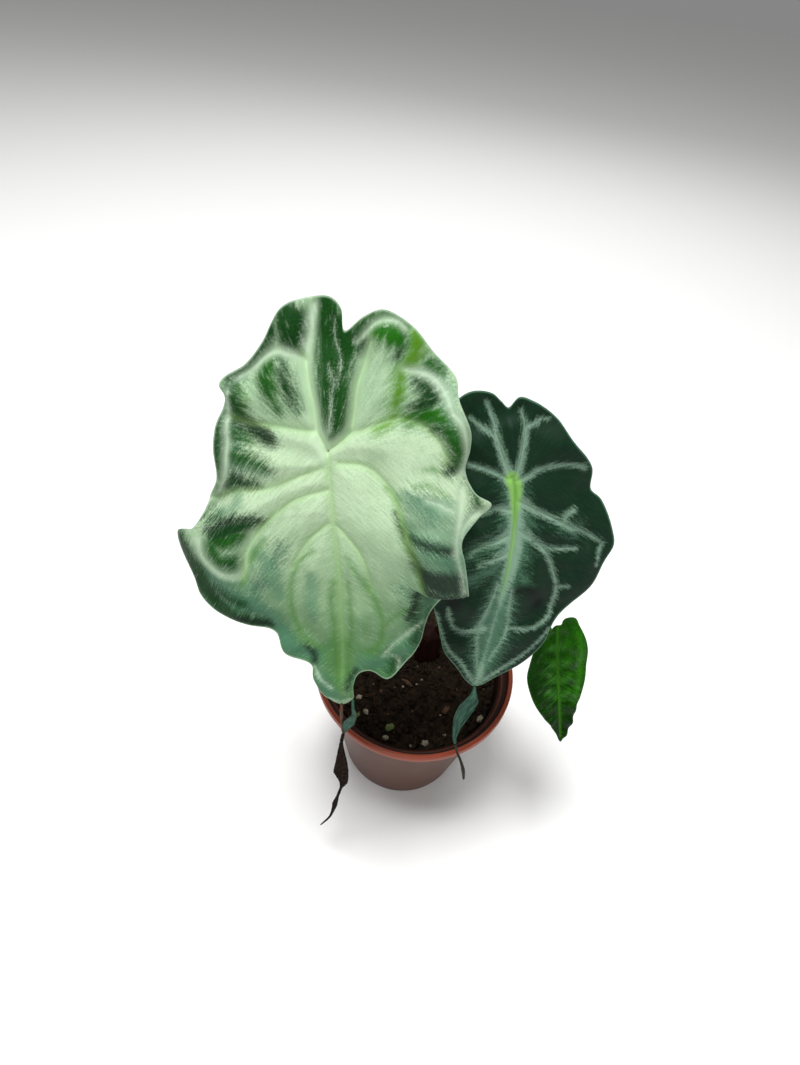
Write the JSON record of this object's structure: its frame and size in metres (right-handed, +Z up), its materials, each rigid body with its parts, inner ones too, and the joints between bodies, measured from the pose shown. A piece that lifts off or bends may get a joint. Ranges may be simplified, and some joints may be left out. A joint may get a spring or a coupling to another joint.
{
  "type": "potted alocasia",
  "caption": "Small potted alocasia with a pale ruffled leaf, a dark veined leaf and a small bright leaf in a tapered nursery pot, with thin hanging leaf tails.",
  "frame": {"origin": "middle of the pot's flat underside", "axes": "+Z up along the pot's axis, -Y towards the viewer whom the leaf faces look at, +X to that viewer's right"},
  "size_m": [0.102, 0.0683, 0.1587],
  "materials": {
    "pot_plastic": "satin",
    "soil": "matte",
    "perlite": "matte",
    "bark": "matte",
    "moss": "matte",
    "crown": "satin",
    "petiole": "satin",
    "green_petiole": "satin",
    "pale_leaf": "satin",
    "dark_leaf": "satin",
    "bright_leaf": "satin",
    "teal_tail": "satin",
    "dried_tail": "matte",
    "dark_thread": "matte"
  },
  "bodies": {
    "root": {"pot": "pot_plastic", "soil": "soil", "perlite_1": "perlite", "perlite_2": "perlite", "perlite_3": "perlite", "perlite_4": "perlite", "perlite_5": "perlite", "perlite_6": "perlite", "perlite_7": "perlite", "bark_chip_1": "bark", "bark_chip_2": "bark", "bark_chip_3": "bark", "moss_bit_1": "moss", "moss_bit_2": "moss", "crown": "crown", "large_leaf_petiole": "petiole", "dark_leaf_petiole": "petiole", "small_leaf_petiole": "green_petiole", "large_leaf_blade": "pale_leaf", "dark_leaf_blade": "dark_leaf", "small_leaf_blade": "bright_leaf", "large_leaf_tail": "teal_tail", "large_leaf_dried_tail": "dried_tail", "dark_leaf_tail": "teal_tail", "dark_leaf_thread": "dark_thread"}
  },
  "joints": []
}
